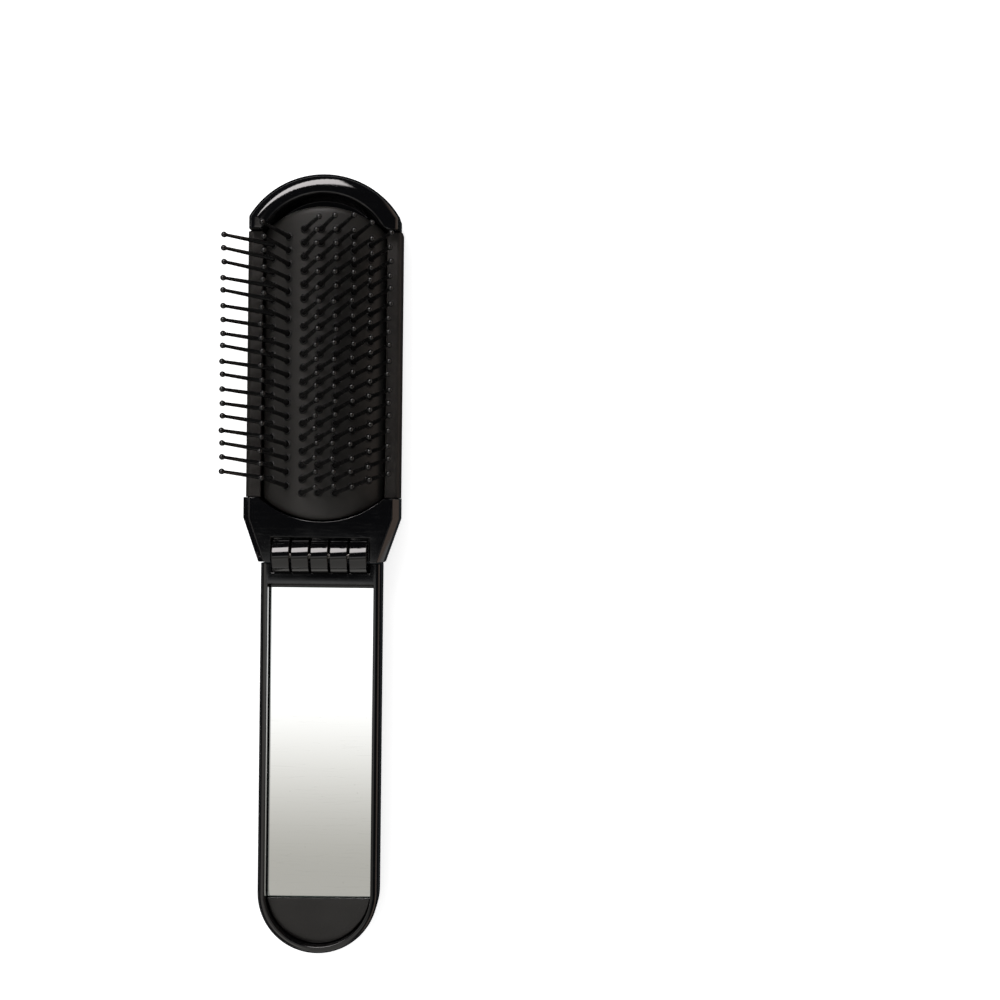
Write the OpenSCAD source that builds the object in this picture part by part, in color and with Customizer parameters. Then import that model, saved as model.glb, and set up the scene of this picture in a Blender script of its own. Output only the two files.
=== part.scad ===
// Folding hairbrush with a mirror in its handle.
// The brush half and the mirror half are joined by a five-knuckle hinge and fold face to face.
// A thumb button in the back of the brush half arches a rubber pad and spreads its seven rows of
// pins; when the brush is folded the pad lies flat and the pins stand upright inside.
// Lies on its back: +Z is the pin side, +Y the brush half, X across. Millimetres.

/* [Brush half] */
// Length from the hinge axis to the rounded tip
head_len = 96.6; // [92:0.2:110]
// Width across the glossy shell
head_w = 38.2; // [37:0.2:44]
// Height of the arch and the neck
head_h = 14.8; // [14.4:0.1:18]
// Height of the arch's curve above its corners
arch_rise = 10.8; // [9:0.2:13]
// Width of the arch's rim
rim_w = 5.2; // [4:0.1:5.4]
// Width of the part of that rim that falls away outwards
rim_round = 3.8; // [2:0.1:3.8]
// How far it falls
rim_fall = 2.3; // [1.4:0.1:3]
// Width of the slope inside the rim, down to the floor
cove_w = 0.9; // [0.6:0.1:2]
// Height of the side walls, under the rails
wall_h = 8.6; // [7.6:0.1:9]
// Length of the neck, from the hinge axis to the rails
neck_len = 14.6; // [13.6:0.2:20]
// Length of the neck's straight part, before it narrows
neck_straight = 5.1; // [3:0.1:7]
// Width of the neck where it meets the handle
neck_end_w = 31.6; // [30.6:0.2:34]
// Bevel along the neck's upper side edges
neck_bevel = 1.6; // [1:0.1:3]
// Rounding along the lower outer edges of both halves
back_round = 3.0; // [1.5:0.1:4]
// Thickness of the snap-in back cover
cover_t = 1.4; // [1.2:0.1:1.8]

/* [Rails] */
// Height of the rail's cap above the side wall
rail_cap = 1.5; // [1:0.1:2]
// Thickness of the rail's outer skirt
rail_skin = 0.6; // [0.5:0.1:1.2]
// Number of pegs that hold each rail
rail_pegs = 4; // [2:1:6]
// Radius of a rail peg
peg_r = 0.8; // [0.6:0.1:1]
// Length of a rail peg
peg_len = 2.6; // [2:0.1:3.4]

/* [Bristle pad] */
// Width of the rubber pad
pad_w = 31.2; // [30.6:0.2:31.6]
// Length of the pad's straight sides
pad_straight = 68; // [66:0.5:76]
// How far the pad's rounded ends bulge
pad_end_rise = 5.8; // [4:0.2:6.4]
// Height of the arched pad's crown above the table
pad_crown = 15.5; // [15:0.1:16.4]
// Radius of the arched pad's top, across
pad_curve_r = 20.3; // [17:0.1:24]
// Thickness of the pad
pad_t = 1.4; // [1.2:0.1:1.6]
// Gap between the pad and the shell around it
pad_gap = 0.15; // [0.1:0.05:0.4]
// Height of the ledge that the pad stands on
ledge_h = 1.9; // [1.6:0.1:2]
// Width of that ledge
ledge_w = 1.7; // [1.2:0.1:2.2]

/* [Pins] */
// Distance between rows, across the arched pad
row_pitch = 4.15; // [3.9:0.05:4.2]
// Distance between rows when the pad is flat
flat_row_pitch = 3.75; // [3.6:0.05:3.8]
// How far the rows stand to the right of the pad's middle
row_shift = -0.6; // [-0.6:0.1:0.6]
// How far the rows stand towards the tip from the pad's middle
row_forward = 0.5; // [-1:0.1:1]
// Lean of the left edge's row, outwards
edge_lean = 65; // [50:1:68]
// Lean of the row next to it, outwards
second_lean = 20; // [14:1:34]
// Lean of the middle of the five rows that are swept to the right
swept_lean = 21; // [0:1:24]
// How much more each of those rows leans than the one before
swept_step = 1; // [0:0.5:4]
// Lean of every pin towards the tip
tip_lean = 5; // [0:1:8]
// Distance between pins in a row
pin_pitch = 3.5; // [3.4:0.05:3.6]
// Number of pins in the middle row
middle_pins = 20; // [16:1:20]
// Length of a pin above the pad
pin_len = 14; // [12:0.1:14.2]
// Radius of a pin at its root
pin_root_r = 0.62; // [0.5:0.02:0.7]
// Radius of a pin under its ball tip
pin_neck_r = 0.42; // [0.35:0.01:0.5]
// Radius of the ball tip
ball_r = 0.78; // [0.7:0.02:0.9]
// Radius of the pin's head, inside the pad
pin_head_r = 1.0; // [0.8:0.05:1.2]
// Thickness of the pin's head
pin_head_t = 0.6; // [0.5:0.05:0.8]

/* [Button] */
// Length of the thumb button
button_l = 46; // [36:1:56]
// Width of the thumb button
button_w = 11; // [9:0.2:11.4]
// Play of the thumb button in its window
button_play = 0.25; // [0.15:0.05:0.4]
// Depth of the dished thumb face
button_dish = 0.5; // [0.2:0.1:0.8]
// How far the thumb button stands out of the back when the pad is flat
button_proud = 0.8; // [0.4:0.1:1.2]
// Width of the bar that lifts the pad
lifter_w = 4.2; // [3:0.1:4.2]
// Length of that bar
lifter_l = 70; // [60:1:72]
// Room between the lifter and the heads of the middle row
lifter_gap = 0.65; // [0.6:0.05:0.9]
// Height of the pad's top above its ledge when it lies flat
flat_rise = 2; // [1.9:0.05:2.2]

/* [Mirror half] */
// Length from the hinge axis to the rounded end
handle_len = 101; // [96:0.2:112]
// Width of the handle
handle_w = 30.6; // [30.4:0.2:34]
// Height of the handle
handle_h = 12.6; // [12.4:0.1:15]
// Thickness of the handle's side walls
handle_wall = 1.9; // [1.6:0.1:1.9]
// Thickness of the handle's back
handle_floor = 1.8; // [1.4:0.1:2.4]
// Length of the solid band between the hinge and the mirror
band_len = 7.2; // [6.6:0.1:9]
// Width of the mirror glass
mirror_w = 26.4; // [20:0.1:26.4]
// Length of the mirror glass
mirror_l = 79.2; // [60:0.1:79.6]
// Thickness of the mirror glass
mirror_t = 1.8; // [1.2:0.1:2]
// Depth of the mirror's face below the handle's rim
mirror_depth = 4.8; // [4.8:0.1:5.4]
// Thickness of the tray under the mirror
tray_t = 1.5; // [1:0.1:1.8]
// Gap between the band and the mirror
mirror_gap = 1.0; // [0.4:0.1:1.5]
// Thickness of the foam tape between the mirror and the tray
tape_t = 0.6; // [0.3:0.1:1]
// Width of a strip of tape
tape_w = 22; // [10:1:25]
// Length of a strip of tape
tape_l = 26; // [12:1:30]

/* [Hinge] */
// Radius of the knuckles
barrel_r = 4.2; // [3.8:0.1:4.4]
// Length of the whole barrel
barrel_l = 23.8; // [22:0.2:25]
// Gap between two knuckles
knuckle_gap = 0.5; // [0.2:0.05:0.6]
// Room behind the knuckles, in the neck
pocket_room = 0.4; // [0.3:0.1:1]
// Radius of the steel pin
hinge_pin_r = 0.75; // [0.6:0.05:0.9]
// Clearance of the pin in the handle's knuckles
pin_play = 0.05; // [0.02:0.01:0.08]
// Distance from the hinge axis back to where the two halves meet
meet_back = 1.8; // [0.4:0.1:2.4]
// Gap between the two halves' ends when open
end_gap = 0.3; // [0.2:0.1:1]
// Gap between the two halves' faces when folded
close_gap = 0.1; // [0.05:0.05:0.4]

/* [Hidden] */
$fn = 48;
eps = 0.01;
far = 300;
fit = 0.1;             // clearance of a piece that is set into another
round_clear = 0.35;    // clearance around the turning barrel
touch = 0.01;          // a line-to-line fit of the pin in the shell's knuckles
top_round = 1.5;       // rounding along the upper edges of the rails and the handle
rim_chamfer = 0.4;     // slope along the inner edge of the arch's rim
pocket_under = 0.8;    // room under the knuckles
web_inset = 0.6;       // depth of the knuckles' webs below the faces
knuckles = 5;
rows = 7;
middle_row = 4;

// hinge, with its axis above the origin
hinge_y = 0;
hinge_z = (head_h + handle_h + close_gap) / 2;
knuckle_l = (barrel_l - (knuckles - 1) * knuckle_gap) / knuckles;
pocket_w = barrel_l + 2 * knuckle_gap;
swing_r = barrel_r + round_clear;
neck_end_y = hinge_y - meet_back + end_gap / 2;
handle_top_y = neck_end_y - end_gap;
pocket_y = hinge_y + barrel_r + pocket_room;
pocket_z = hinge_z - barrel_r - pocket_under;
web_drop = 0.8 * barrel_r; // depth of a knuckle's web below the axis

// brush half
rail_w = head_w + 2 * rail_skin;
head_tip_y = hinge_y + head_len;
arch_r = (pow(head_w / 2, 2) + pow(arch_rise, 2)) / (2 * arch_rise);
arch_y = head_tip_y - arch_r;
rail_start_y = hinge_y + neck_len;
neck_start_y = rail_start_y + fit / 2;
rail_end_y = rail_start_y + pad_straight;
opening_w = pad_w + 2 * pad_gap;
ledge_z = cover_t + ledge_h;
rail_top = wall_h + rail_cap;
slope_w = rim_w + cove_w;

// pad: straight sides that stand on the ledge, under a round top
pad_y = (rail_start_y + rail_end_y) / 2;
dome_rise = pad_crown - ledge_z;
dome_z = pad_crown - pad_curve_r;
pin_knob_r = pin_root_r + 0.08;
pin_bore_r = pin_knob_r + 0.06;

// button and lifter, with the pad arched; the lifter's ends rest on the cover when it is flat
lift = dome_rise - flat_rise;
button_t = cover_t + button_proud + fit / 2;
button_z = lift - button_proud;
lifter_top = pad_crown - pad_t - fit - pin_head_t - lifter_gap;
window_w = button_w + 2 * button_play;
window_l = button_l + 2 * button_play;

// mirror half
handle_end_y = hinge_y - handle_len;
handle_r = handle_w / 2;
recess_w = handle_w - 2 * handle_wall;
recess_top_y = hinge_y - band_len;
mirror_top_y = recess_top_y - mirror_gap;
mirror_y = mirror_top_y - mirror_l / 2;
mirror_z = handle_h - mirror_depth - mirror_t;
tape_z = mirror_z - tape_t;
tray_z = tape_z - tray_t;
step_w = 1.1;          // inner step of the handle that the tray rests on
end_plate_drop = 3.4;  // depth of the plain end plate below the rim

gloss_black = [0.02, 0.02, 0.022];
matte_black = [0.06, 0.055, 0.052];
steel = [0.62, 0.63, 0.65];

// ---- shared outlines and profiles ----

function end_radius(w, rise) = (pow(w / 2, 2) + pow(rise, 2)) / (2 * rise);

// A long outline with straight sides and bulging ends, such as the pad's.
module lens_outline(w, straight, rise) {
    r = end_radius(w, rise);
    square([w, straight], center = true);
    for (side = [-1, 1])
        intersection() {
            translate([0, side * (straight / 2 + rise - r)]) circle(r, $fn = 96);
            translate([0, side * (straight + rise) / 2]) square([w, rise + 2 * eps + straight / 2], center = true);
        }
}

// A slot with half-round ends, along Y.
module slot_outline(w, l) {
    square([w, l - w], center = true);
    for (side = [-1, 1]) translate([0, side * (l - w) / 2]) circle(w / 2);
}

// Half of a shell's cross-section, from the middle out to w, with rounded outer edges.
module half_section(w, h, low_r, high_r) {
    difference() {
        square([w, h]);
        translate([w - low_r, -eps]) difference() {
            square([low_r + eps, low_r + eps]);
            translate([0, low_r + eps]) circle(low_r);
        }
        if (high_r > 0) translate([w - high_r, h - high_r]) difference() {
            square(high_r + eps);
            circle(high_r);
        }
    }
}

// Runs a half cross-section along Y, on both sides, from y0 to y1.
module run_section(y0, y1) {
    for (side = [0, 1])
        mirror([side, 0, 0]) translate([0, y1, 0]) rotate([90, 0, 0]) linear_extrude(y1 - y0) children();
}

module across_x(r, l, x = 0) {
    translate([x, hinge_y, hinge_z]) rotate([0, 90, 0]) cylinder(r = r, h = l, center = true);
}

function knuckle_x(i) = (i - (knuckles + 1) / 2) * (knuckle_l + knuckle_gap);

// A knuckle and its web, which runs from the axis to y and lies between z0 and z1.
module knuckle(i, y, z0, z1) {
    across_x(barrel_r, knuckle_l, knuckle_x(i));
    block(knuckle_x(i) - knuckle_l / 2, knuckle_x(i) + knuckle_l / 2, min(y, hinge_y), max(y, hinge_y), z0, z1);
}

module block(x0, x1, y0, y1, z0, z1) {
    translate([x0, y0, z0]) cube([x1 - x0, y1 - y0, z1 - z0]);
}

// ---- brush half ----

// The neck seen from above: straight beside the pad, then narrowing to the handle's width.
module neck_outline(inset) {
    wide = rail_w / 2 - inset;
    slim = neck_end_w / 2 - inset;
    polygon([[-wide, neck_start_y], [-wide, rail_start_y - neck_straight], [-slim, neck_end_y],
        [slim, neck_end_y], [wide, rail_start_y - neck_straight], [wide, neck_start_y]]);
}

module neck_block() {
    hull() {
        linear_extrude(eps) neck_outline(back_round / 2);
        translate([0, 0, back_round / 2]) linear_extrude(head_h - neck_bevel - back_round / 2) neck_outline(0);
        linear_extrude(head_h) neck_outline(neck_bevel);
    }
}

// Half of the brush half's outside at the arch, whose rim falls away outwards in a quarter of an ellipse.
module arch_outside(w) {
    difference() {
        half_section(w, head_h, back_round, 0);
        translate([w - rim_round, head_h - rim_fall]) difference() {
            square([rim_round + 1, rim_fall + 1]);
            scale([rim_round, rim_fall]) circle(1);
        }
    }
}

// The round arch, cut off at the sides; inside the rim it slopes steeply to the floor.
module arch() {
    intersection() {
        translate([0, arch_y, 0]) rotate_extrude($fn = 96) intersection() {
            arch_outside(arch_r);
            union() {
                square([arch_r, wall_h]);
                polygon([[arch_r - slope_w, wall_h - eps], [arch_r - rim_w, head_h - rim_chamfer],
                    [arch_r - rim_w + rim_chamfer, head_h], [arch_r, head_h], [arch_r, wall_h - eps]]);
            }
        }
        run_section(rail_end_y, head_tip_y + 1) arch_outside(head_w / 2);
    }
}

module side_walls() {
    run_section(rail_start_y - eps, rail_end_y + eps) half_section(head_w / 2, wall_h, back_round, 0);
}

module pad_opening(shrink) {
    translate([0, pad_y])
        lens_outline(opening_w - 2 * shrink, pad_straight, pad_end_rise + pad_gap - shrink);
}

module rail_peg_places() {
    for (i = [0 : rail_pegs - 1])
        translate([0, rail_start_y + (i + 0.5) * pad_straight / rail_pegs, 0]) children();
}

module peg_holes() {
    for (side = [-1, 1])
        rail_peg_places()
            translate([side * (opening_w + head_w) / 4, 0, wall_h - peg_len - 4 * fit])
                cylinder(r = peg_r + fit / 2, h = far);
}

module hinge_pocket() {
    block(-pocket_w / 2, pocket_w / 2, neck_end_y - 1, pocket_y, pocket_z, far);
}

module head_shell() {
    color(gloss_black) difference() {
        union() {
            difference() {
                union() {
                    neck_block();
                    side_walls();
                    arch();
                }
                hinge_pocket();
                across_x(hinge_pin_r + fit / 2, far / 2, -far / 4);
                translate([0, 0, ledge_z]) linear_extrude(far) pad_opening(0);
                translate([0, 0, -eps]) linear_extrude(far) pad_opening(ledge_w);
                translate([0, 0, -eps]) linear_extrude(cover_t + eps) pad_opening(0);
                peg_holes();
            }
            for (i = [1 : 2 : knuckles])
                knuckle(i, pocket_y + eps, hinge_z - web_drop, head_h - web_inset);
        }
        across_x(hinge_pin_r + touch, barrel_l + 1);
    }
}

module head_back_cover() {
    color(gloss_black) linear_extrude(cover_t) difference() {
        translate([0, pad_y]) lens_outline(opening_w - 2 * fit, pad_straight, pad_end_rise + pad_gap - fit);
        translate([0, pad_y]) slot_outline(window_w, window_l);
    }
}

// A matte rail: a cap on the side wall with a skirt outside it and pegs below.
module side_rail(side) {
    color(matte_black) mirror([side < 0 ? 1 : 0, 0, 0]) {
        translate([0, rail_end_y - fit, 0]) rotate([90, 0, 0]) linear_extrude(pad_straight - 2 * fit)
            difference() {
                half_section(rail_w / 2, rail_top, back_round, top_round);
                translate([0, -eps]) square([head_w / 2, wall_h + eps]);
                translate([0, -eps]) square([rail_w / 2 + 1, back_round + eps]);
                square([opening_w / 2, rail_top + 1]);
            }
        rail_peg_places()
            translate([(opening_w + head_w) / 4, 0, wall_h - peg_len]) cylinder(r = peg_r, h = peg_len + eps);
    }
}

// An arched bar along Y, cut to a bulge at each end by a lens that clears its sides.
module dome(r, straight, w, rise) {
    intersection() {
        translate([0, pad_y + pad_straight, 0]) rotate([90, 0, 0]) linear_extrude(2 * pad_straight) intersection() {
            translate([0, dome_z]) circle(r, $fn = 96);
            translate([-w / 2, ledge_z]) square([w, pad_crown]);
        }
        translate([0, pad_y, ledge_z - 1]) linear_extrude(far) lens_outline(w + 2 * eps, straight, rise);
    }
}

module bristle_pad() {
    color(matte_black) difference() {
        dome(pad_curve_r, pad_straight, pad_w, pad_end_rise);
        translate([0, 0, -eps]) dome(pad_curve_r - pad_t, pad_straight, pad_w - 2 * pad_t, pad_end_rise - pad_t);
        for (row = [1 : rows]) pin_places(row) translate([0, 0, -2 * pad_t]) cylinder(r = pin_bore_r, h = 3 * pad_t);
    }
}

// ---- pins ----

function row_x(row) = (row - middle_row) * row_pitch + row_shift;
function row_slope(row) = asin(row_x(row) / pad_curve_r);
function row_lean(row) = row == 1 ? -edge_lean : row == 2 ? -second_lean
    : swept_lean + (row - 5) * swept_step;
function row_pins(row) = middle_pins - max(0, abs(row - middle_row) - 1);

// Puts its children on the pad's surface at every pin of a row, with +Z out of the pad.
module pin_places(row) {
    n = row_pins(row);
    for (i = [0 : n - 1])
        translate([0, pad_y + row_forward + (i - (n - 1) / 2) * pin_pitch, dome_z]) rotate([0, row_slope(row), 0])
            translate([0, 0, pad_curve_r]) children();
}

// A pin: its head and stem stand square to the pad, and its shaft turns away from them by bend.
module pin(bend) {
    root = pad_t + fit;
    translate([0, 0, -root - pin_head_t]) cylinder(r = pin_head_r, h = pin_head_t, $fn = 24);
    translate([0, 0, -root - eps]) cylinder(r = pin_root_r, h = root + eps, $fn = 24);
    sphere(pin_knob_r, $fn = 24);
    rotate([0, bend, 0]) rotate([-tip_lean, 0, 0]) {
        cylinder(r1 = pin_root_r, r2 = pin_neck_r, h = pin_len - ball_r, $fn = 24);
        translate([0, 0, pin_len - ball_r]) sphere(ball_r, $fn = 24);
    }
}

module pin_row(row) {
    color(gloss_black) pin_places(row) pin(row_lean(row) - row_slope(row));
}

// ---- button ----

module push_button() {
    dish_r = (pow(button_w / 2, 2) + pow(button_dish, 2)) / (2 * button_dish);
    color(gloss_black) translate([0, pad_y, button_z]) difference() {
        linear_extrude(button_t) slot_outline(button_w, button_l);
        translate([0, 0, button_dish - dish_r]) rotate([90, 0, 0])
            cylinder(r = dish_r, h = button_l - button_w, center = true, $fn = 96);
    }
}

module pad_lifter() {
    z0 = button_z + button_t;
    color(matte_black) translate([0, pad_y, z0]) linear_extrude(lifter_top - z0) slot_outline(lifter_w, lifter_l);
}

// ---- hinge pin ----

module hinge_pin() {
    color(steel) across_x(hinge_pin_r, barrel_l);
}

// ---- mirror half ----

module handle_outline(w, y1) {
    translate([0, handle_end_y + handle_r]) circle(w / 2, $fn = 96);
    translate([-w / 2, handle_end_y + handle_r]) square([w, y1 - handle_end_y - handle_r]);
}

module handle_body() {
    run_section(handle_end_y + handle_r, handle_top_y) half_section(handle_r, handle_h, back_round, top_round);
    intersection() {
        translate([0, handle_end_y + handle_r, 0])
            rotate_extrude($fn = 96) half_section(handle_r, handle_h, back_round, top_round);
        block(-far, far, -far, handle_end_y + handle_r, -1, far);
    }
}

module handle_shell() {
    color(gloss_black) difference() {
        union() {
            difference() {
                handle_body();
                across_x(swing_r, pocket_w);
                translate([0, 0, tray_z]) linear_extrude(far) handle_outline(recess_w, recess_top_y);
                translate([0, 0, handle_floor]) linear_extrude(far)
                    handle_outline(recess_w - 2 * step_w, recess_top_y - step_w);
            }
            for (i = [2 : 2 : knuckles - 1])
                knuckle(i, hinge_y - swing_r - web_inset, hinge_z - web_drop, handle_h - web_inset);
        }
        across_x(hinge_pin_r + pin_play, far);
    }
}

// The tray lies in the handle; its plain end plate fills the round end below the mirror.
module mirror_tray() {
    color(gloss_black) difference() {
        translate([0, 0, tray_z]) linear_extrude(handle_h - end_plate_drop - tray_z)
            handle_outline(recess_w - 2 * fit, recess_top_y - fit);
        block(-far, far, mirror_y - mirror_l / 2 - fit, mirror_top_y + fit, tape_z, far);
    }
}

module mirror_tape() {
    color([0.85, 0.85, 0.82]) for (end = [-1, 1])
        translate([-tape_w / 2, mirror_y + end * mirror_l / 4 - tape_l / 2, tape_z])
            cube([tape_w, tape_l, tape_t]);
}

module mirror_glass() {
    color([0.9, 0.92, 0.93]) translate([-mirror_w / 2, mirror_y - mirror_l / 2, mirror_z])
        cube([mirror_w, mirror_l, mirror_t]);
}

head_shell();
head_back_cover();
side_rail(-1);  // side_rail_left
side_rail(1);  // side_rail_right
bristle_pad();
hinge_pin();
push_button();
pad_lifter();
pin_row(1);  // pin_row_1
pin_row(2);  // pin_row_2
pin_row(3);  // pin_row_3
pin_row(4);  // pin_row_4
pin_row(5);  // pin_row_5
pin_row(6);  // pin_row_6
pin_row(7);  // pin_row_7
handle_shell();
mirror_tray();
mirror_tape();
mirror_glass();
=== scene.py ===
# Folding hairbrush with a mirror in its handle, opened out flat and lying on its back.
# Metres, +Z up from the table, +Y towards the brush's tip, +X across to the right; the origin is on
# the table, under the hinge.
import math
import random
import bmesh
import bpy
from mathutils import Matrix, Vector


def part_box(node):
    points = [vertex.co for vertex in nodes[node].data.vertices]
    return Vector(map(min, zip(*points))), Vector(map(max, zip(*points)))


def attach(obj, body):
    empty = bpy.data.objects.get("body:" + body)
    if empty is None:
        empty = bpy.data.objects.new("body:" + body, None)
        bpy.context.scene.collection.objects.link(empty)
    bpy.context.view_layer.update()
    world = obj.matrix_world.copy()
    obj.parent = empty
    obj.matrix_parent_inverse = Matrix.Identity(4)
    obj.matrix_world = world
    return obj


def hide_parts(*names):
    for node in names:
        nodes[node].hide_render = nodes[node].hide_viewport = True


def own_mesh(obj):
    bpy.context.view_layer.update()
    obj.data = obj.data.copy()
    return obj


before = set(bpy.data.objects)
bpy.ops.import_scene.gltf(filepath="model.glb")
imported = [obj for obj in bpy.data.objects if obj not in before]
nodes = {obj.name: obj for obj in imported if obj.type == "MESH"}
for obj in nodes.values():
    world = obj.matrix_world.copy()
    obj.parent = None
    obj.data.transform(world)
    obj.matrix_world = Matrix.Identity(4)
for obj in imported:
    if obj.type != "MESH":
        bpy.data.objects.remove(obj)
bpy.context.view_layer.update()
mm = 0.001
scene = bpy.context.scene
scene.view_settings.view_transform = "Standard"

# ---- Camera: straight above the table, beside the brush, and turned by two thirds of a degree.
camera_data = bpy.data.cameras.new("camera")
camera_data.sensor_width = 36
camera_data.lens = 64.29
camera = bpy.data.objects.new("camera", camera_data)
camera.location = (0.0452, 0.0146, 0.4648)
camera.rotation_euler = (0, 0, math.radians(0.63))
scene.collection.objects.link(camera)
scene.camera = camera

# ---- Table: a sheet of white paper. It shows as plain white, and darkens only in the brush's shadow. From
# below it isn't seen, so that the brush's back shows.


def add_node(tree, kind, sockets=None, **values):
    """A shader node with its options set, and its sockets set or linked."""
    made = tree.nodes.new("ShaderNode" + kind)
    for key, value in values.items():
        setattr(made, key, value)
    for key, value in (sockets or {}).items():
        if isinstance(value, bpy.types.NodeSocket):
            tree.links.new(value, made.inputs[key])
        else:
            made.inputs[key].default_value = value
    return made


def maths(tree, operation, *values):
    return add_node(tree, "Math", dict(enumerate(values)), operation=operation).outputs[0]


def ramp(tree, value, low, high, at_low=0.0, at_high=1.0, smooth=False):
    return add_node(tree, "MapRange", {"Value": value, "From Min": low, "From Max": high, "To Min": at_low,
        "To Max": at_high}, clamp=True, interpolation_type="SMOOTHSTEP" if smooth else "LINEAR").outputs[0]


def product(tree, *factors):
    total = factors[0]
    for factor in factors[1:]:
        total = maths(tree, "MULTIPLY", total, factor)
    return total


def stage_sheet(name, width, length, height, material):
    """A flat sheet round the brush that isn't part of it."""
    bpy.ops.object.select_all(action="DESELECT")
    bpy.ops.mesh.primitive_plane_add(size=1)
    sheet = bpy.context.object
    sheet.name = name
    sheet.data.transform(Matrix.Translation((0, 0, height)) @ Matrix.Diagonal((width, length, 1, 1)))
    sheet.data.materials.append(material)
    return sheet


paper = bpy.data.materials.new("white_paper")
paper.use_nodes = True
tree = paper.node_tree
tree.nodes.clear()
path = add_node(tree, "LightPath").outputs
seen = maths(tree, "MAXIMUM", path["Is Camera Ray"],
    maths(tree, "MAXIMUM", path["Is Glossy Ray"], path["Is Transmission Ray"]))
paper_glow = 0.58
sheet = add_node(tree, "BsdfDiffuse", {"Color": (0.95, 0.95, 0.95, 1)})
glow = add_node(tree, "Emission", {"Strength": maths(tree, "MULTIPLY", seen, paper_glow)})
both = add_node(tree, "AddShader", {0: sheet.outputs[0], 1: glow.outputs[0]})
one_sided = add_node(tree, "MixShader", {0: add_node(tree, "NewGeometry").outputs["Backfacing"],
    1: both.outputs[0], 2: add_node(tree, "BsdfTransparent").outputs[0]})
add_node(tree, "OutputMaterial", {"Surface": one_sided.outputs[0]})
table_size, table_height = 6, -0.05 * mm
stage_sheet("table", table_size, table_size, table_height, paper)

# ---- Black card: lies on the table round the brush and is seen only in the brush's polished sides, which
# it keeps black.
card_black = bpy.data.materials.new("card_black")
card_black.use_nodes = True
tree = card_black.node_tree
tree.nodes.clear()
card_width, card_length, card_height = 0.34, 0.5, 0.01 * mm
card_face = add_node(tree, "Emission", {"Color": (0.8, 0.9, 1.0, 1), "Strength": 0.02})
add_node(tree, "OutputMaterial", {"Surface": card_face.outputs[0]})
card = stage_sheet("black_card", card_width, card_length, card_height, card_black)
card.visible_camera = card.visible_diffuse = card.visible_shadow = False

# ---- Studio: a white room for matt surfaces. Polished ones see it dark, with five lit panels: a bright one
# beyond the brush's tip that the curved edges mirror, one over the handle that goes from white to a warm
# grey and fills the mirror, and dim ones to the left, to the front and low on the right. Each is a product
# of ramps, which fade it out at its sides. Across and along are how far a ray goes towards +X and +Y for
# each metre that it rises.
world = bpy.data.worlds.new("studio")
scene.world = world
world.use_nodes = True
tree = world.node_tree
tree.nodes.clear()
axes = add_node(tree, "SeparateXYZ", {0: add_node(tree, "TexCoord").outputs["Generated"]})
up = maths(tree, "MAXIMUM", axes.outputs["Z"], 0.001)
across = maths(tree, "DIVIDE", axes.outputs["X"], up)
along = maths(tree, "DIVIDE", axes.outputs["Y"], up)


def mixed(factor):
    """Along, plus a share of across."""
    return maths(tree, "MULTIPLY_ADD", across, factor, along)


key_panel = product(tree, ramp(tree, across, -1.2, 0.1, 16.0, 12.0),
    ramp(tree, maths(tree, "MULTIPLY_ADD", across, 0.30, axes.outputs["Z"]), 0.45, 0.49),
    ramp(tree, mixed(0.21), 0.43, 0.47),
    ramp(tree, mixed(-1.35), 0.60, 0.72),
    ramp(tree, across, 0.06, 0.16, 1, 0),
    ramp(tree, maths(tree, "MULTIPLY_ADD", axes.outputs["Y"], 1.54, axes.outputs["X"]), 0.0, 0.06))
handle_panel = product(tree, ramp(tree, along, -0.214, -0.069, 0.42, 1.32, smooth=True),
    ramp(tree, along, -0.0487, -0.0477, 1, 0.16),
    ramp(tree, along, -0.044, -0.038, 1, 0),
    ramp(tree, along, -0.55, -0.42, 0, 1, smooth=True),
    ramp(tree, across, -0.36, -0.24, 0, 1, smooth=True),
    ramp(tree, across, 0.16, 0.26, 1, 0, smooth=True),
    ramp(tree, axes.outputs["Z"], 0.01, 0.02))
left_panel = product(tree, 0.95, ramp(tree, across, -1.6, -1.1, smooth=True),
    ramp(tree, across, -0.34, -0.20, 1, 0, smooth=True),
    ramp(tree, along, -1.4, -1.0, smooth=True),
    ramp(tree, along, 0.1, 0.35, 1, 0, smooth=True))
front_panel = product(tree, 0.8, ramp(tree, axes.outputs["Y"], -0.30, -0.42, smooth=True),
    ramp(tree, maths(tree, "ABSOLUTE", axes.outputs["X"]), 0.25, 0.45, 1, 0, smooth=True))
right_strip = product(tree, 0.9, ramp(tree, axes.outputs["X"], 0.5, 0.7, smooth=True),
    ramp(tree, axes.outputs["Z"], 0.3, 0.55, 1, 0, smooth=True))


def lit(strength, colour):
    return add_node(tree, "Background", {"Color": (*colour, 1), "Strength": strength}).outputs[0]


def added(first, second):
    return add_node(tree, "AddShader", {0: first, 1: second}).outputs[0]


white, room_level, backdrop_level, dim_level = (1, 1, 1), 0.65, 1.0, 0.03
tint = add_node(tree, "Mix", {0: ramp(tree, along, -0.2, -0.1), 6: (1.0, 0.975, 0.89, 1), 7: (*white, 1)},
    data_type="RGBA")
over_handle = add_node(tree, "Background", {"Color": tint.outputs[2], "Strength": handle_panel}).outputs[0]
mirrored = added(added(lit(key_panel, (1, 0.955, 0.95)), over_handle),
    added(added(lit(left_panel, (1, 0.94, 0.88)), lit(right_strip, (1, 0.76, 0.62))),
    added(lit(front_panel, (1, 0.97, 0.92)), lit(dim_level, (0.85, 0.92, 1.0)))))
path = add_node(tree, "LightPath").outputs
polished = maths(tree, "MAXIMUM", path["Is Glossy Ray"], path["Is Transmission Ray"])
lights = add_node(tree, "MixShader", {0: polished, 1: lit(room_level, white), 2: mirrored})
all_round = add_node(tree, "MixShader", {0: path["Is Camera Ray"], 1: lights.outputs[0],
    2: lit(backdrop_level, white)})
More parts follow.
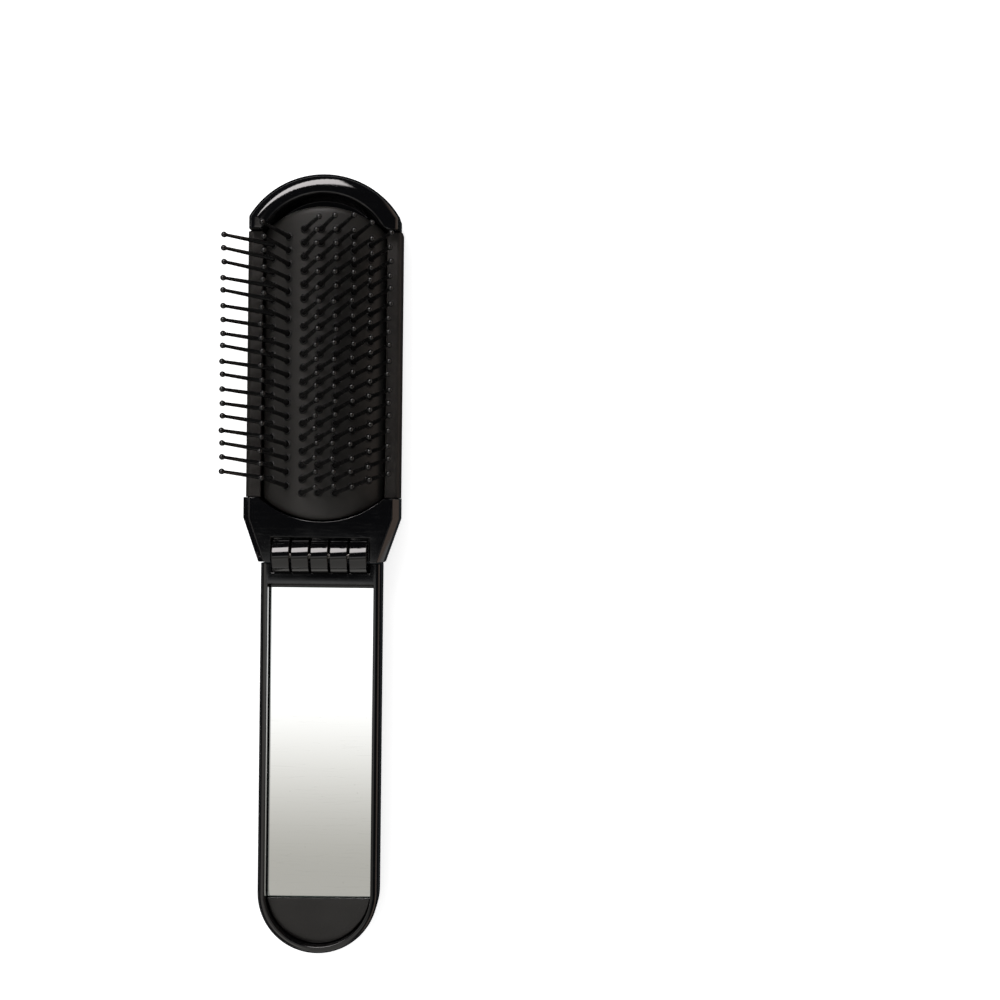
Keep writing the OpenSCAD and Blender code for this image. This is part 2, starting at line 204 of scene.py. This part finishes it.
add_node(tree, "OutputWorld", {"Surface": all_round.outputs[0]})

# ---- Lamp: a large softbox beyond the brush's tip, to the left, for the matt surfaces.
softbox = bpy.data.lights.new("softbox", "AREA")
softbox.shape = "RECTANGLE"
softbox.size, softbox.size_y = 1.0, 0.8
softbox_level, softbox_distance = 3.0, 1.3
softbox.energy = softbox_level * math.pi * softbox.size * softbox.size_y
lamp = bpy.data.objects.new("softbox", softbox)
towards = Vector((-0.413, 0.492, 0.766))
lamp.location = Vector((0, 0.04, 0.01)) + softbox_distance * towards
lamp.rotation_euler = towards.to_track_quat("Z", "Y").to_euler()
lamp.visible_camera = lamp.visible_glossy = False
scene.collection.objects.link(lamp)

# ---- Brush shell: one glossy black moulding in ABS with the arch, the side walls, the neck and three
# hinge knuckles. Its edges are rounded as a mould leaves them.


def deselect():
    if bpy.context.mode != "OBJECT":
        bpy.ops.object.mode_set(mode="OBJECT")
    bpy.ops.object.select_all(action="DESELECT")


flat_within, edge_from, smooth_within = (math.radians(angle) for angle in (0.5, 28, 40))


def from_cad(node, name, body, rounding):
    """A copy of a CAD node on its body, with its flat faces rejoined and its edges rounded. The rounding is
    a width, or gives one for each point."""
    deselect()
    piece = nodes[node].copy()
    piece.data = nodes[node].data.copy()
    piece.name = piece.data.name = name
    piece.parent = None
    scene.collection.objects.link(piece)
    piece.select_set(True)
    bpy.context.view_layer.objects.active = piece
    bpy.ops.object.mode_set(mode="EDIT")
    bpy.ops.mesh.select_mode(type="EDGE")
    bpy.ops.mesh.select_all(action="SELECT")
    bpy.ops.mesh.remove_doubles(threshold=0.01 * mm)
    bpy.ops.mesh.dissolve_limited(angle_limit=flat_within)
    bpy.ops.mesh.select_all(action="SELECT")
    bpy.ops.mesh.quads_convert_to_tris(quad_method="BEAUTY", ngon_method="BEAUTY")
    shape = bmesh.from_edit_mesh(piece.data)
    weight = shape.edges.layers.float.new("bevel_weight_edge")
    for edge in shape.edges:
        if edge.is_manifold and edge.calc_face_angle() > edge_from:
            middle = (edge.verts[0].co + edge.verts[1].co) / 2
            edge[weight] = (rounding(middle) if callable(rounding) else rounding) / mm
    bmesh.update_edit_mesh(piece.data)
    deselect()
    piece.select_set(True)
    edges = piece.modifiers.new("rounded_edges", "BEVEL")
    edges.limit_method = "WEIGHT"
    edges.width = 1 * mm
    edges.segments = 3
    edges.use_clamp_overlap = False
    bpy.ops.object.modifier_apply(modifier=edges.name)
    bpy.ops.object.shade_smooth_by_angle(angle=smooth_within)
    shading = piece.modifiers.new("flat_faces_stay_flat", "WEIGHTED_NORMAL")
    shading.keep_sharp = True
    bpy.ops.object.modifier_apply(modifier=shading.name)
    piece.data.materials.clear()
    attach(piece, body)
    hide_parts(node)
    return piece


moulded_edge = 0.2 * mm
lip_edge, lip_r, lip_z = 0.23 * mm, 17.3 * mm, 14.2 * mm
hinge_z, neck_start_y, arch_middle_y = 13.75 * mm, 14.65 * mm, 74.31 * mm


def near_axis(point):
    """Inside the hinge pin's bores."""
    return math.hypot(point.y, point.z - hinge_z) < 1.2 * mm


def under_rail(point):
    """The tops of the side walls, with the holes for the rails' pegs, which the rails cover."""
    return abs(point.x) > 15.5 * mm and 14.8 * mm < point.y < 82.5 * mm and point.z > 5 * mm


def under_pad(point):
    """The ledge that the pad stands on."""
    return abs(point.x) < 16.2 * mm and 14.4 * mm < point.y < 89 * mm and 0.3 * mm < point.z < 8.3 * mm


def value_group(name, outputs):
    """A node group that takes a scale and gives values between 0 and 1 that change over the surface."""
    group = bpy.data.node_groups.new(name, "ShaderNodeTree")
    group.interface.new_socket("Scale", in_out="INPUT", socket_type="NodeSocketFloat")
    for output in outputs:
        group.interface.new_socket(output, in_out="OUTPUT", socket_type="NodeSocketFloat")
    return group, group.nodes.new("NodeGroupInput"), group.nodes.new("NodeGroupOutput")


# Faint hairlines, smudges and dust, as on anything polished that has been handled.
handling, given, result = value_group("handling", ("Marks", "Smudge"))
place = add_node(handling, "TexCoord").outputs["Object"]
lines = None
for turn, stretch in ((0.5, 34), (-1.1, 27)):
    slanted = add_node(handling, "Mapping", {"Vector": place, "Rotation": (0, 0, turn), "Scale": (1, stretch, 1)})
    streaks = add_node(handling, "TexNoise", {"Vector": slanted.outputs[0],
        "Scale": maths(handling, "MULTIPLY", given.outputs["Scale"], 60), "Detail": 2.0})
    hair = ramp(handling, maths(handling, "ABSOLUTE", maths(handling, "SUBTRACT", streaks.outputs[0], 0.62)),
        0.0, 0.012, 1, 0)
    lines = hair if lines is None else maths(handling, "MAXIMUM", lines, hair)
dust = add_node(handling, "TexVoronoi", {"Vector": place,
    "Scale": maths(handling, "MULTIPLY", given.outputs["Scale"], 420)})
specks = ramp(handling, dust.outputs["Distance"], 0.03, 0.08, 1, 0)
smudge = add_node(handling, "TexNoise", {"Vector": place,
    "Scale": maths(handling, "MULTIPLY", given.outputs["Scale"], 70), "Detail": 3.0})
handling.links.new(maths(handling, "MAXIMUM", maths(handling, "MULTIPLY", lines, 0.6), specks),
    result.inputs["Marks"])
handling.links.new(ramp(handling, smudge.outputs[0], 0.4, 0.7), result.inputs["Smudge"])

# The fine grain that a spark-eroded mould prints, and slow changes of tone.
grain, given, result = value_group("moulded_grain", ("Height", "Tone"))
place = add_node(grain, "TexCoord").outputs["Object"]
fine = add_node(grain, "TexNoise", {"Vector": place,
    "Scale": maths(grain, "MULTIPLY", given.outputs["Scale"], 2600), "Detail": 3.0})
slow = add_node(grain, "TexNoise", {"Vector": place,
    "Scale": maths(grain, "MULTIPLY", given.outputs["Scale"], 130), "Detail": 4.0})
grain.links.new(fine.outputs[0], result.inputs["Height"])
grain.links.new(ramp(grain, slow.outputs[0], 0.3, 0.7), result.inputs["Tone"])


def finish(name, colour, roughness, level=0.5, metallic=0.0):
    """A material with a plain shader, and its tree and shader for what is added to it."""
    material = bpy.data.materials.new(name)
    material.use_nodes = True
    tree = material.node_tree
    tree.nodes.clear()
    shader = add_node(tree, "BsdfPrincipled", {"Base Color": (*colour, 1), "Roughness": roughness,
        "Specular IOR Level": level, "Metallic": metallic})
    add_node(tree, "OutputMaterial", {"Surface": shader.outputs[0]})
    return material, tree, shader


def place_group(tree, group, scale):
    placed = add_node(tree, "Group", node_tree=group)
    placed.inputs["Scale"].default_value = scale
    return placed.outputs


def two_tone(tree, factor, dark, light):
    return add_node(tree, "Mix", {0: factor, 6: (*dark, 1), 7: (*light, 1)}, data_type="RGBA").outputs[2]


def bump(tree, height, distance, strength=1.0):
    return add_node(tree, "Bump", {"Height": height, "Distance": distance, "Strength": strength}).outputs[0]


gloss_black, tree, shader = finish("gloss_black", (0.002, 0.002, 0.0024), 0.06)
marks = place_group(tree, handling, 1.0)
tree.links.new(maths(tree, "ADD", ramp(tree, marks["Smudge"], 0, 1, 0.05, 0.10),
    maths(tree, "MULTIPLY", marks["Marks"], 0.12)), shader.inputs["Roughness"])
tree.links.new(two_tone(tree, marks["Marks"], (0.002, 0.002, 0.0024), (0.006, 0.006, 0.006)),
    shader.inputs["Base Color"])
tree.links.new(bump(tree, place_group(tree, grain, 0.25)["Tone"], 0.02 * mm, 0.15), shader.inputs["Normal"])


def shell_edge(point):
    """How far the brush shell's edges are rounded: more along the arch's inner lip."""
    at_neck_corner = abs(point.y - neck_start_y) < 0.15 * mm and (
        point.z < 2.5 * mm or abs(abs(point.x) - 15.75 * mm) < 0.2 * mm)
    if near_axis(point) or under_rail(point) or under_pad(point) or at_neck_corner:
        return 0
    from_middle = math.hypot(point.x, point.y - arch_middle_y)
    on_lip = point.z > lip_z and point.y > 82 * mm and abs(from_middle - lip_r) < 0.5 * mm
    return lip_edge if on_lip else moulded_edge


head_shell = from_cad("head_shell", "brush_shell", "head", shell_edge)
head_shell.data.materials.append(gloss_black)

# ---- Back cover: a thin glossy plate that snaps into the back of the brush shell, with the button's
# window. It is seen from behind.
cover = from_cad("head_back_cover", "back_cover", "head", moulded_edge)
cover.data.materials.append(gloss_black)

# ---- Rails: two matt strips in a softer plastic, moulded with a fine grain. Pegs under them sit in holes
# in the shell's side walls.
soft_black, tree, shader = finish("soft_black", (0.013, 0.011, 0.010), 0.5, level=0.3)
texture = place_group(tree, grain, 1.0)
tree.links.new(two_tone(tree, texture["Tone"], (0.011, 0.0095, 0.0085), (0.015, 0.013, 0.0115)),
    shader.inputs["Base Color"])
tree.links.new(ramp(tree, texture["Tone"], 0, 1, 0.46, 0.56), shader.inputs["Roughness"])
tree.links.new(bump(tree, texture["Height"], 0.03 * mm, 0.5), shader.inputs["Normal"])
rail_edge = 0.25 * mm
for side in ("left", "right"):
    rail = from_cad("side_rail_" + side, "rail_" + side, "head", rail_edge)
    rail.data.materials.append(soft_black)

# ---- Bristle pad: an arched sheet of black rubber, moulded with a collar round every pin. It stands on a
# ledge in the shell, and the button's lifter arches it; the button let out, it lies flat.
pad_w, pad_straight, pad_bulge = 31.2 * mm, 68 * mm, 5.8 * mm
pad_y, pad_foot, pad_crown = 48.6 * mm, 3.3 * mm, 15.5 * mm
pad_curve_r, pad_t = 20.3 * mm, 1.4 * mm
curve_z = pad_crown - pad_curve_r
bulge_r = ((pad_w / 2) ** 2 + pad_bulge ** 2) / (2 * pad_bulge)

deselect()
bpy.ops.mesh.primitive_grid_add(x_subdivisions=40, y_subdivisions=96, size=1)
pad = bpy.context.object
pad.name = pad.data.name = "rubber_pad"
skin_inset = 0.1 * mm
for vertex in pad.data.vertices:
    x = 2 * vertex.co.x * (pad_w / 2 - skin_inset)
    half = pad_straight / 2 + math.sqrt(bulge_r ** 2 - x ** 2) - (bulge_r - pad_bulge) - skin_inset
    vertex.co = (x, pad_y + 2 * vertex.co.y * half, curve_z + math.sqrt((pad_curve_r - skin_inset) ** 2 - x ** 2))
# the sides come down to the ledge in steps
bpy.ops.object.mode_set(mode="EDIT")
bpy.ops.mesh.select_mode(type="EDGE")
bpy.ops.mesh.select_all(action="SELECT")
bpy.ops.mesh.region_to_loop()
wall_steps = 9
for step in range(wall_steps):
    bpy.ops.mesh.extrude_region_move()
    shape = bmesh.from_edit_mesh(pad.data)
    for vertex in shape.verts:
        if vertex.select:
            vertex.co.z -= (vertex.co.z - pad_foot) / (wall_steps - step)
    bmesh.update_edit_mesh(pad.data)
bpy.ops.mesh.select_all(action="SELECT")
bpy.ops.mesh.normals_make_consistent(inside=False)
bpy.ops.object.mode_set(mode="OBJECT")
soft = pad.vertex_groups.new(name="soft")
stiff_foot = 1.5 * mm
soft.add([vertex.index for vertex in pad.data.vertices if vertex.co.z > pad_foot + stiff_foot], 1.0, "REPLACE")
rounding = pad.modifiers.new("rounded_rim", "SMOOTH")
rounding.factor = 0.5
rounding.iterations = 9
rounding.vertex_group = soft.name
bpy.ops.object.modifier_apply(modifier=rounding.name)
wall = pad.modifiers.new("sheet", "SOLIDIFY")
wall.thickness = pad_t
wall.offset = -1
bpy.ops.object.modifier_apply(modifier=wall.name)
pad.vertex_groups.clear()

# rows of pins: how many, and how far each leans from upright, in degrees
row_leans = (-65, -20, 19, 20, 21, 22, 23)
row_counts = (18, 19, 20, 20, 20, 19, 18)
row_numbers = range(len(row_counts))
row_pitch, row_shift, row_forward = 4.15 * mm, -0.6 * mm, 0.5 * mm
pin_pitch, tip_lean = 3.5 * mm, 5


def pin_places(row):
    """Matrices that stand a piece on the pad at each pin of a row, square to the pad, and its slope there."""
    x = (row - len(row_counts) // 2) * row_pitch + row_shift
    slope = math.asin(x / pad_curve_r)
    for i in range(row_counts[row]):
        y = pad_y + row_forward + (i - (row_counts[row] - 1) / 2) * pin_pitch
        yield Matrix.Translation((0, y, curve_z)) @ Matrix.Rotation(slope, 4, "Y") @ \
            Matrix.Translation((0, 0, pad_curve_r)), slope


def turned(name, profile, sides):
    """A piece turned about Z from a profile of (radius, height) pairs in millimetres."""
    deselect()
    mesh = bpy.data.meshes.new(name)
    mesh.from_pydata([(radius * mm, 0, height * mm) for radius, height in profile],
        [(i, i + 1) for i in range(len(profile) - 1)], [])
    piece = bpy.data.objects.new(name, mesh)
    scene.collection.objects.link(piece)
    piece.select_set(True)
    bpy.context.view_layer.objects.active = piece
    bpy.ops.object.mode_set(mode="EDIT")
    bpy.ops.mesh.select_all(action="SELECT")
    bpy.ops.mesh.spin(steps=sides, angle=2 * math.pi, center=(0, 0, 0), axis=(0, 0, 1))
    bpy.ops.mesh.select_all(action="SELECT")
    bpy.ops.mesh.remove_doubles(threshold=0.002 * mm)
    bpy.ops.mesh.normals_make_consistent(inside=False)
    bpy.ops.object.mode_set(mode="OBJECT")
    return piece


def copies(pattern, name, places):
    """One object with a copy of the pattern at each place."""
    deselect()
    for place in places:
        one = bpy.data.objects.new(name, pattern.data.copy())
        one.data.transform(place)
        scene.collection.objects.link(one)
        one.select_set(True)
    bpy.context.view_layer.objects.active = one
    bpy.ops.object.join()
    one.name = one.data.name = name
    bpy.ops.object.shade_smooth_by_angle(angle=math.radians(60))
    return one


collar_sides = 10
collar = turned("collar", ((1.2, -0.12), (1.08, 0.07), (0.86, 0.12), (0.74, -0.1)), collar_sides)
collars = copies(collar, "collars", [place for row in row_numbers for place, slope in pin_places(row)])
bpy.data.objects.remove(collar)
# Mark the collars' points so that the pad's colour paints them nearly black: painted shade round the pin roots.
for piece, value in ((pad, 0.0), (collars, 1.0)):
    painted_pin_shade = piece.data.attributes.new("painted_pin_shade", "FLOAT", "POINT")
    painted_pin_shade.data.foreach_set("value", [value] * len(piece.data.vertices))
deselect()
collars.select_set(True)
pad.select_set(True)
bpy.context.view_layer.objects.active = pad
bpy.ops.object.join()
bpy.ops.object.shade_smooth_by_angle(angle=math.radians(50))

pad_rubber, tree, shader = finish("pad_rubber", (0.013, 0.012, 0.011), 0.55, level=0.35)
texture = place_group(tree, grain, 0.7)
tone = two_tone(tree, texture["Tone"], (0.0105, 0.0098, 0.009), (0.0165, 0.0153, 0.014))
# The collars are painted nearly black: painted shade round the pin roots, not a colour of the rubber.
pad_colour_with_pin_shade = add_node(tree, "Mix", {0: add_node(tree, "Attribute", attribute_name="painted_pin_shade").outputs["Fac"],
    6: tone, 7: (0.005, 0.005, 0.005, 1)}, data_type="RGBA")
tree.links.new(pad_colour_with_pin_shade.outputs[2], shader.inputs["Base Color"])
tree.links.new(ramp(tree, texture["Tone"], 0, 1, 0.5, 0.62), shader.inputs["Roughness"])
tree.links.new(bump(tree, texture["Height"], 0.04 * mm, 0.6), shader.inputs["Normal"])
pad.data.materials.clear()
pad.data.materials.append(pad_rubber)
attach(pad, "head")
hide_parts("bristle_pad")
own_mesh(pad)

# ---- Pins: seven rows of tapered black nylon pins with ball tips, moulded one by one. Each is pushed
# through the pad from below until its head stops it, and each row turns with its own body.
pin_nylon, tree, shader = finish("pin_nylon", (0.004, 0.004, 0.004), 0.2)
marks = place_group(tree, handling, 2.0)
tree.links.new(ramp(tree, marks["Smudge"], 0, 1, 0.16, 0.28), shader.inputs["Roughness"])
tree.links.new(two_tone(tree, place_group(tree, grain, 1.5)["Tone"], (0.003, 0.003, 0.003), (0.006, 0.006, 0.006)),
    shader.inputs["Base Color"])
pin_sides = 8
pattern = turned("pin", ((0, -0.62), (0.5, -0.5), (0.7, 0.0), (0.62, 0.4), (0.52, 6.2), (0.42, 12.5), (0.6, 12.72),
    (0.77, 13.22), (0.66, 13.65), (0.34, 13.92), (0, 13.97)), pin_sides)
uneven, uneven_lean, uneven_forward = random.Random(5), 3.2, 3
for row in row_numbers:
    # no pin stands taller or reaches wider than the row's own lean lets it
    outwards = 1 if row else -1
    places = []
    for place, slope in pin_places(row):
        lean = row_leans[row] + outwards * math.copysign(uneven.uniform(0, uneven_lean), row_leans[row])
        forward = tip_lean + uneven.uniform(0, uneven_forward)
        places.append(place @ Matrix.Rotation(math.radians(lean) - slope, 4, "Y") @
            Matrix.Rotation(math.radians(-forward), 4, "X"))
    pins = copies(pattern, "pins_row_%d" % (row + 1), places)
    pins.data.materials.append(pin_nylon)
    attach(pins, "row_%d" % (row + 1))
    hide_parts("pin_row_%d" % (row + 1))
bpy.data.objects.remove(pattern)

# ---- Thumb button: a glossy slide in the back, dished for the thumb. Its lifter is a bar in plain
# plastic that runs under the pad.
soft_edge = 0.3 * mm
button = from_cad("push_button", "thumb_button", "button", soft_edge)
button.data.materials.append(gloss_black)

inner_plastic, tree, shader = finish("inner_plastic", (0.012, 0.012, 0.012), 0.45)
texture = place_group(tree, grain, 0.6)
tree.links.new(two_tone(tree, texture["Tone"], (0.009, 0.009, 0.009), (0.015, 0.015, 0.015)),
    shader.inputs["Base Color"])
tree.links.new(bump(tree, texture["Height"], 0.03 * mm, 0.5), shader.inputs["Normal"])
lifter = from_cad("pad_lifter", "lifter_bar", "button", soft_edge)
lifter.data.materials.append(inner_plastic)

# ---- Hinge pin: a drawn steel rod with broken ends, pressed in from the left through the five knuckles.
# It shows only in the gaps between them.
pin_steel, tree, shader = finish("pin_steel", (0.22, 0.21, 0.2), 0.4, metallic=1.0)
drawn = add_node(tree, "Mapping", {"Vector": add_node(tree, "TexCoord").outputs["Object"], "Scale": (1, 40, 40)})
lines = add_node(tree, "TexNoise", {"Vector": drawn.outputs[0], "Scale": 90.0, "Detail": 3.0})
tree.links.new(ramp(tree, lines.outputs[0], 0.3, 0.7, 0.32, 0.5), shader.inputs["Roughness"])
rod = from_cad("hinge_pin", "hinge_rod", "head", 0.15 * mm)
rod.data.materials.append(pin_steel)

# ---- Mirror half: the second glossy moulding in ABS, which is the handle. It has two hinge knuckles and
# a deep recess for the tray, the mirror and, when the brush is shut, the pins.
handle = from_cad("handle_shell", "mirror_frame", "mirror_handle",
    lambda point: 0 if near_axis(point) else moulded_edge)
handle.data.materials.append(gloss_black)

# ---- Tray: a satin moulding glued into the handle. The mirror lies on it, and its half-moon end plate
# shows below the mirror.
tray_black, tree, shader = finish("tray_black", (0.007, 0.006, 0.0056), 0.2)
texture = place_group(tree, grain, 0.5)
tree.links.new(two_tone(tree, texture["Tone"], (0.006, 0.0052, 0.005), (0.009, 0.0075, 0.007)),
    shader.inputs["Base Color"])
tree.links.new(ramp(tree, texture["Tone"], 0, 1, 0.16, 0.26), shader.inputs["Roughness"])
tree.links.new(bump(tree, texture["Height"], 0.02 * mm, 0.25), shader.inputs["Normal"])
tray = from_cad("mirror_tray", "mirror_tray_plate", "mirror_handle", soft_edge)
tray.data.materials.append(tray_black)

# ---- Tape: two strips of white foam with glue on both sides, which hold the mirror down on the tray. The
# mirror hides them.
foam, tree, shader = finish("foam_tape", (0.7, 0.7, 0.66), 0.9, level=0.2)
cells = add_node(tree, "TexVoronoi", {"Vector": add_node(tree, "TexCoord").outputs["Object"], "Scale": 3000.0})
tree.links.new(two_tone(tree, cells.outputs["Distance"], (0.55, 0.55, 0.51), (0.78, 0.78, 0.74)),
    shader.inputs["Base Color"])
tree.links.new(bump(tree, cells.outputs["Distance"], 0.1 * mm, 0.6), shader.inputs["Normal"])
tape = from_cad("mirror_tape", "foam_strips", "mirror_handle", 0.1 * mm)
tape.data.materials.append(foam)

# ---- Mirror: a strip of float glass, silvered and taped down on the tray. Its edges are ground, and broken
# so that they don't cut.
silver, tree, shader = finish("mirror_silver", (0.95, 0.955, 0.95), 0.0, metallic=1.0)
marks = place_group(tree, handling, 0.6)
tree.links.new(ramp(tree, marks["Smudge"], 0, 1, 0.0, 0.02), shader.inputs["Roughness"])
tree.links.new(two_tone(tree, marks["Marks"], (0.95, 0.955, 0.95), (0.88, 0.885, 0.88)),
    shader.inputs["Base Color"])
ground_edge, tree, shader = finish("ground_glass_edge", (0.30, 0.36, 0.33), 0.35)
texture = place_group(tree, grain, 1.0)
tree.links.new(two_tone(tree, texture["Tone"], (0.24, 0.31, 0.28), (0.34, 0.40, 0.37)), shader.inputs["Base Color"])
tree.links.new(bump(tree, texture["Height"], 0.03 * mm, 0.5), shader.inputs["Normal"])
low, high = (Vector(corner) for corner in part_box("mirror_glass"))
deselect()
bpy.ops.mesh.primitive_cube_add(size=1)
glass = bpy.context.object
glass.name = glass.data.name = "mirror"
glass.data.transform(Matrix.Translation((low + high) / 2) @ Matrix.Diagonal((*(high - low), 1)))
bpy.ops.object.mode_set(mode="EDIT")
bpy.ops.mesh.select_mode(type="EDGE")
bpy.ops.mesh.select_all(action="SELECT")
ground_width = 0.15 * mm
bpy.ops.mesh.bevel(offset=ground_width, segments=2, affect="EDGES")
deselect()
glass.data.materials.append(silver)
glass.data.materials.append(ground_edge)
for face in glass.data.polygons:
    face.material_index = 0 if face.normal.z > 0.99 else 1
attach(glass, "mirror_handle")
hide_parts("mirror_glass")
